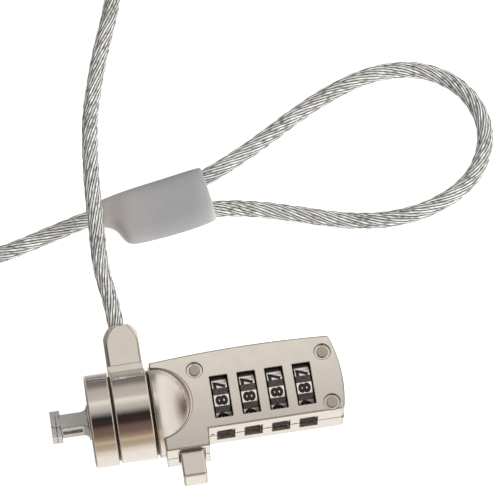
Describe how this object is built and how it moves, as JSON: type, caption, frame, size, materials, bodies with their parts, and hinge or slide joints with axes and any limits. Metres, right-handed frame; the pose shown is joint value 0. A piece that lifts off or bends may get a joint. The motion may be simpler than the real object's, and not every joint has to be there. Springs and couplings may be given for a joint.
{
  "type": "laptop cable lock",
  "caption": "Combination cable lock: dial housing with rotating T-bar head, release button, swivel collar and a coated steel cable ending in a crimped loop.",
  "frame": {"origin": "on the table under the middle of the lock head, without its cable", "axes": "+X along the lock's axis towards the dial end, +Y towards the cable, +Z out of the number plate"},
  "size_m": [0.1579, 0.1313, 0.0183],
  "materials": {
    "plated_zinc": "warm satin nickel plating on zinc die castings",
    "polished_steel": "turned steel",
    "t_bar_steel": "hardened steel, satin",
    "rivet_steel": "staked steel rivets",
    "dial_plating": "bright plating with black painted digits",
    "brass": "plain brass",
    "spring_steel": "spring wire and strip",
    "ferrule_aluminium": "swaged aluminium",
    "steel_cable": "galvanised steel wire rope in a thin clear plastic coat",
    "sleeve_plastic": "translucent grey-white moulded plastic",
    "tie_plastic": "soft black hook-and-loop strip"
  },
  "bodies": {
    "cable_set": {"swivel_collar": "plated_zinc", "cable_end_ferrule": "ferrule_aluminium", "cable_lead": "steel_cable", "cable_coil": "steel_cable", "cable_loop": "steel_cable", "coil_ties": "tie_plastic", "crimp_ferrule": "ferrule_aluminium", "crimp_sleeve": "sleeve_plastic"},
    "housing": {"front_shell": "plated_zinc", "rear_shell": "plated_zinc", "front_cap": "plated_zinc", "front_washer": "polished_steel", "rear_washer": "polished_steel", "neck_tube": "polished_steel", "t_bar_blade": "t_bar_steel", "rivets": "rivet_steel", "button_spring": "spring_steel", "spindle_spring": "spring_steel", "detent_spring": "spring_steel"},
    "button": {"release_button": "plated_zinc"},
    "rotor": {"t_bar_rotor": "t_bar_steel"},
    "spindle": {"locking_spindle": "polished_steel"},
    "dial_body_1": {"dial_1": "dial_plating", "tumbler_1": "brass"},
    "dial_body_2": {"dial_2": "dial_plating", "tumbler_2": "brass"},
    "dial_body_3": {"dial_3": "dial_plating", "tumbler_3": "brass"},
    "dial_body_4": {"dial_4": "dial_plating", "tumbler_4": "brass"}
  },
  "joints": [
    {"name": "collar_swivel", "type": "hinge", "parent": "cable_set", "child": "housing", "pos_m": [-0.01265, -0.00193, 0.00915], "axis": [-1, 0, 0], "continuous": true},
    {"name": "button_slide", "type": "slide", "parent": "housing", "child": "button", "axis": [0, 1, 0], "range_m": [0, 0.00314], "stiffness_N_per_m": 400, "springref_m": -0.004, "deforming": ["button_spring"]},
    {"name": "rotor_turn", "type": "hinge", "parent": "housing", "child": "rotor", "pos_m": [-0.02125, -0.00193, 0.00915], "axis": [-1, 0, 0], "range_deg": [0, 90]},
    {"name": "spindle_slide", "type": "slide", "parent": "housing", "child": "spindle", "axis": [1, 0, 0], "range_m": [0, 0.0009], "deforming": ["spindle_spring"]},
    {"name": "dial_1_turn", "type": "hinge", "parent": "housing", "child": "dial_body_1", "pos_m": [0.00477, -0.00193, 0.00915], "axis": [1, 0, 0], "continuous": true},
    {"name": "dial_2_turn", "type": "hinge", "parent": "housing", "child": "dial_body_2", "pos_m": [0.0102, -0.00193, 0.00915], "axis": [1, 0, 0], "continuous": true},
    {"name": "dial_3_turn", "type": "hinge", "parent": "housing", "child": "dial_body_3", "pos_m": [0.01563, -0.00193, 0.00915], "axis": [1, 0, 0], "continuous": true},
    {"name": "dial_4_turn", "type": "hinge", "parent": "housing", "child": "dial_body_4", "pos_m": [0.02106, -0.00193, 0.00915], "axis": [1, 0, 0], "continuous": true}
  ],
  "couplings": [
    {"joint": "rotor_turn", "follows": "button_slide", "rad_per_m": 500},
    {"joint": "spindle_slide", "follows": "button_slide", "ratio": 0.28648}
  ]
}
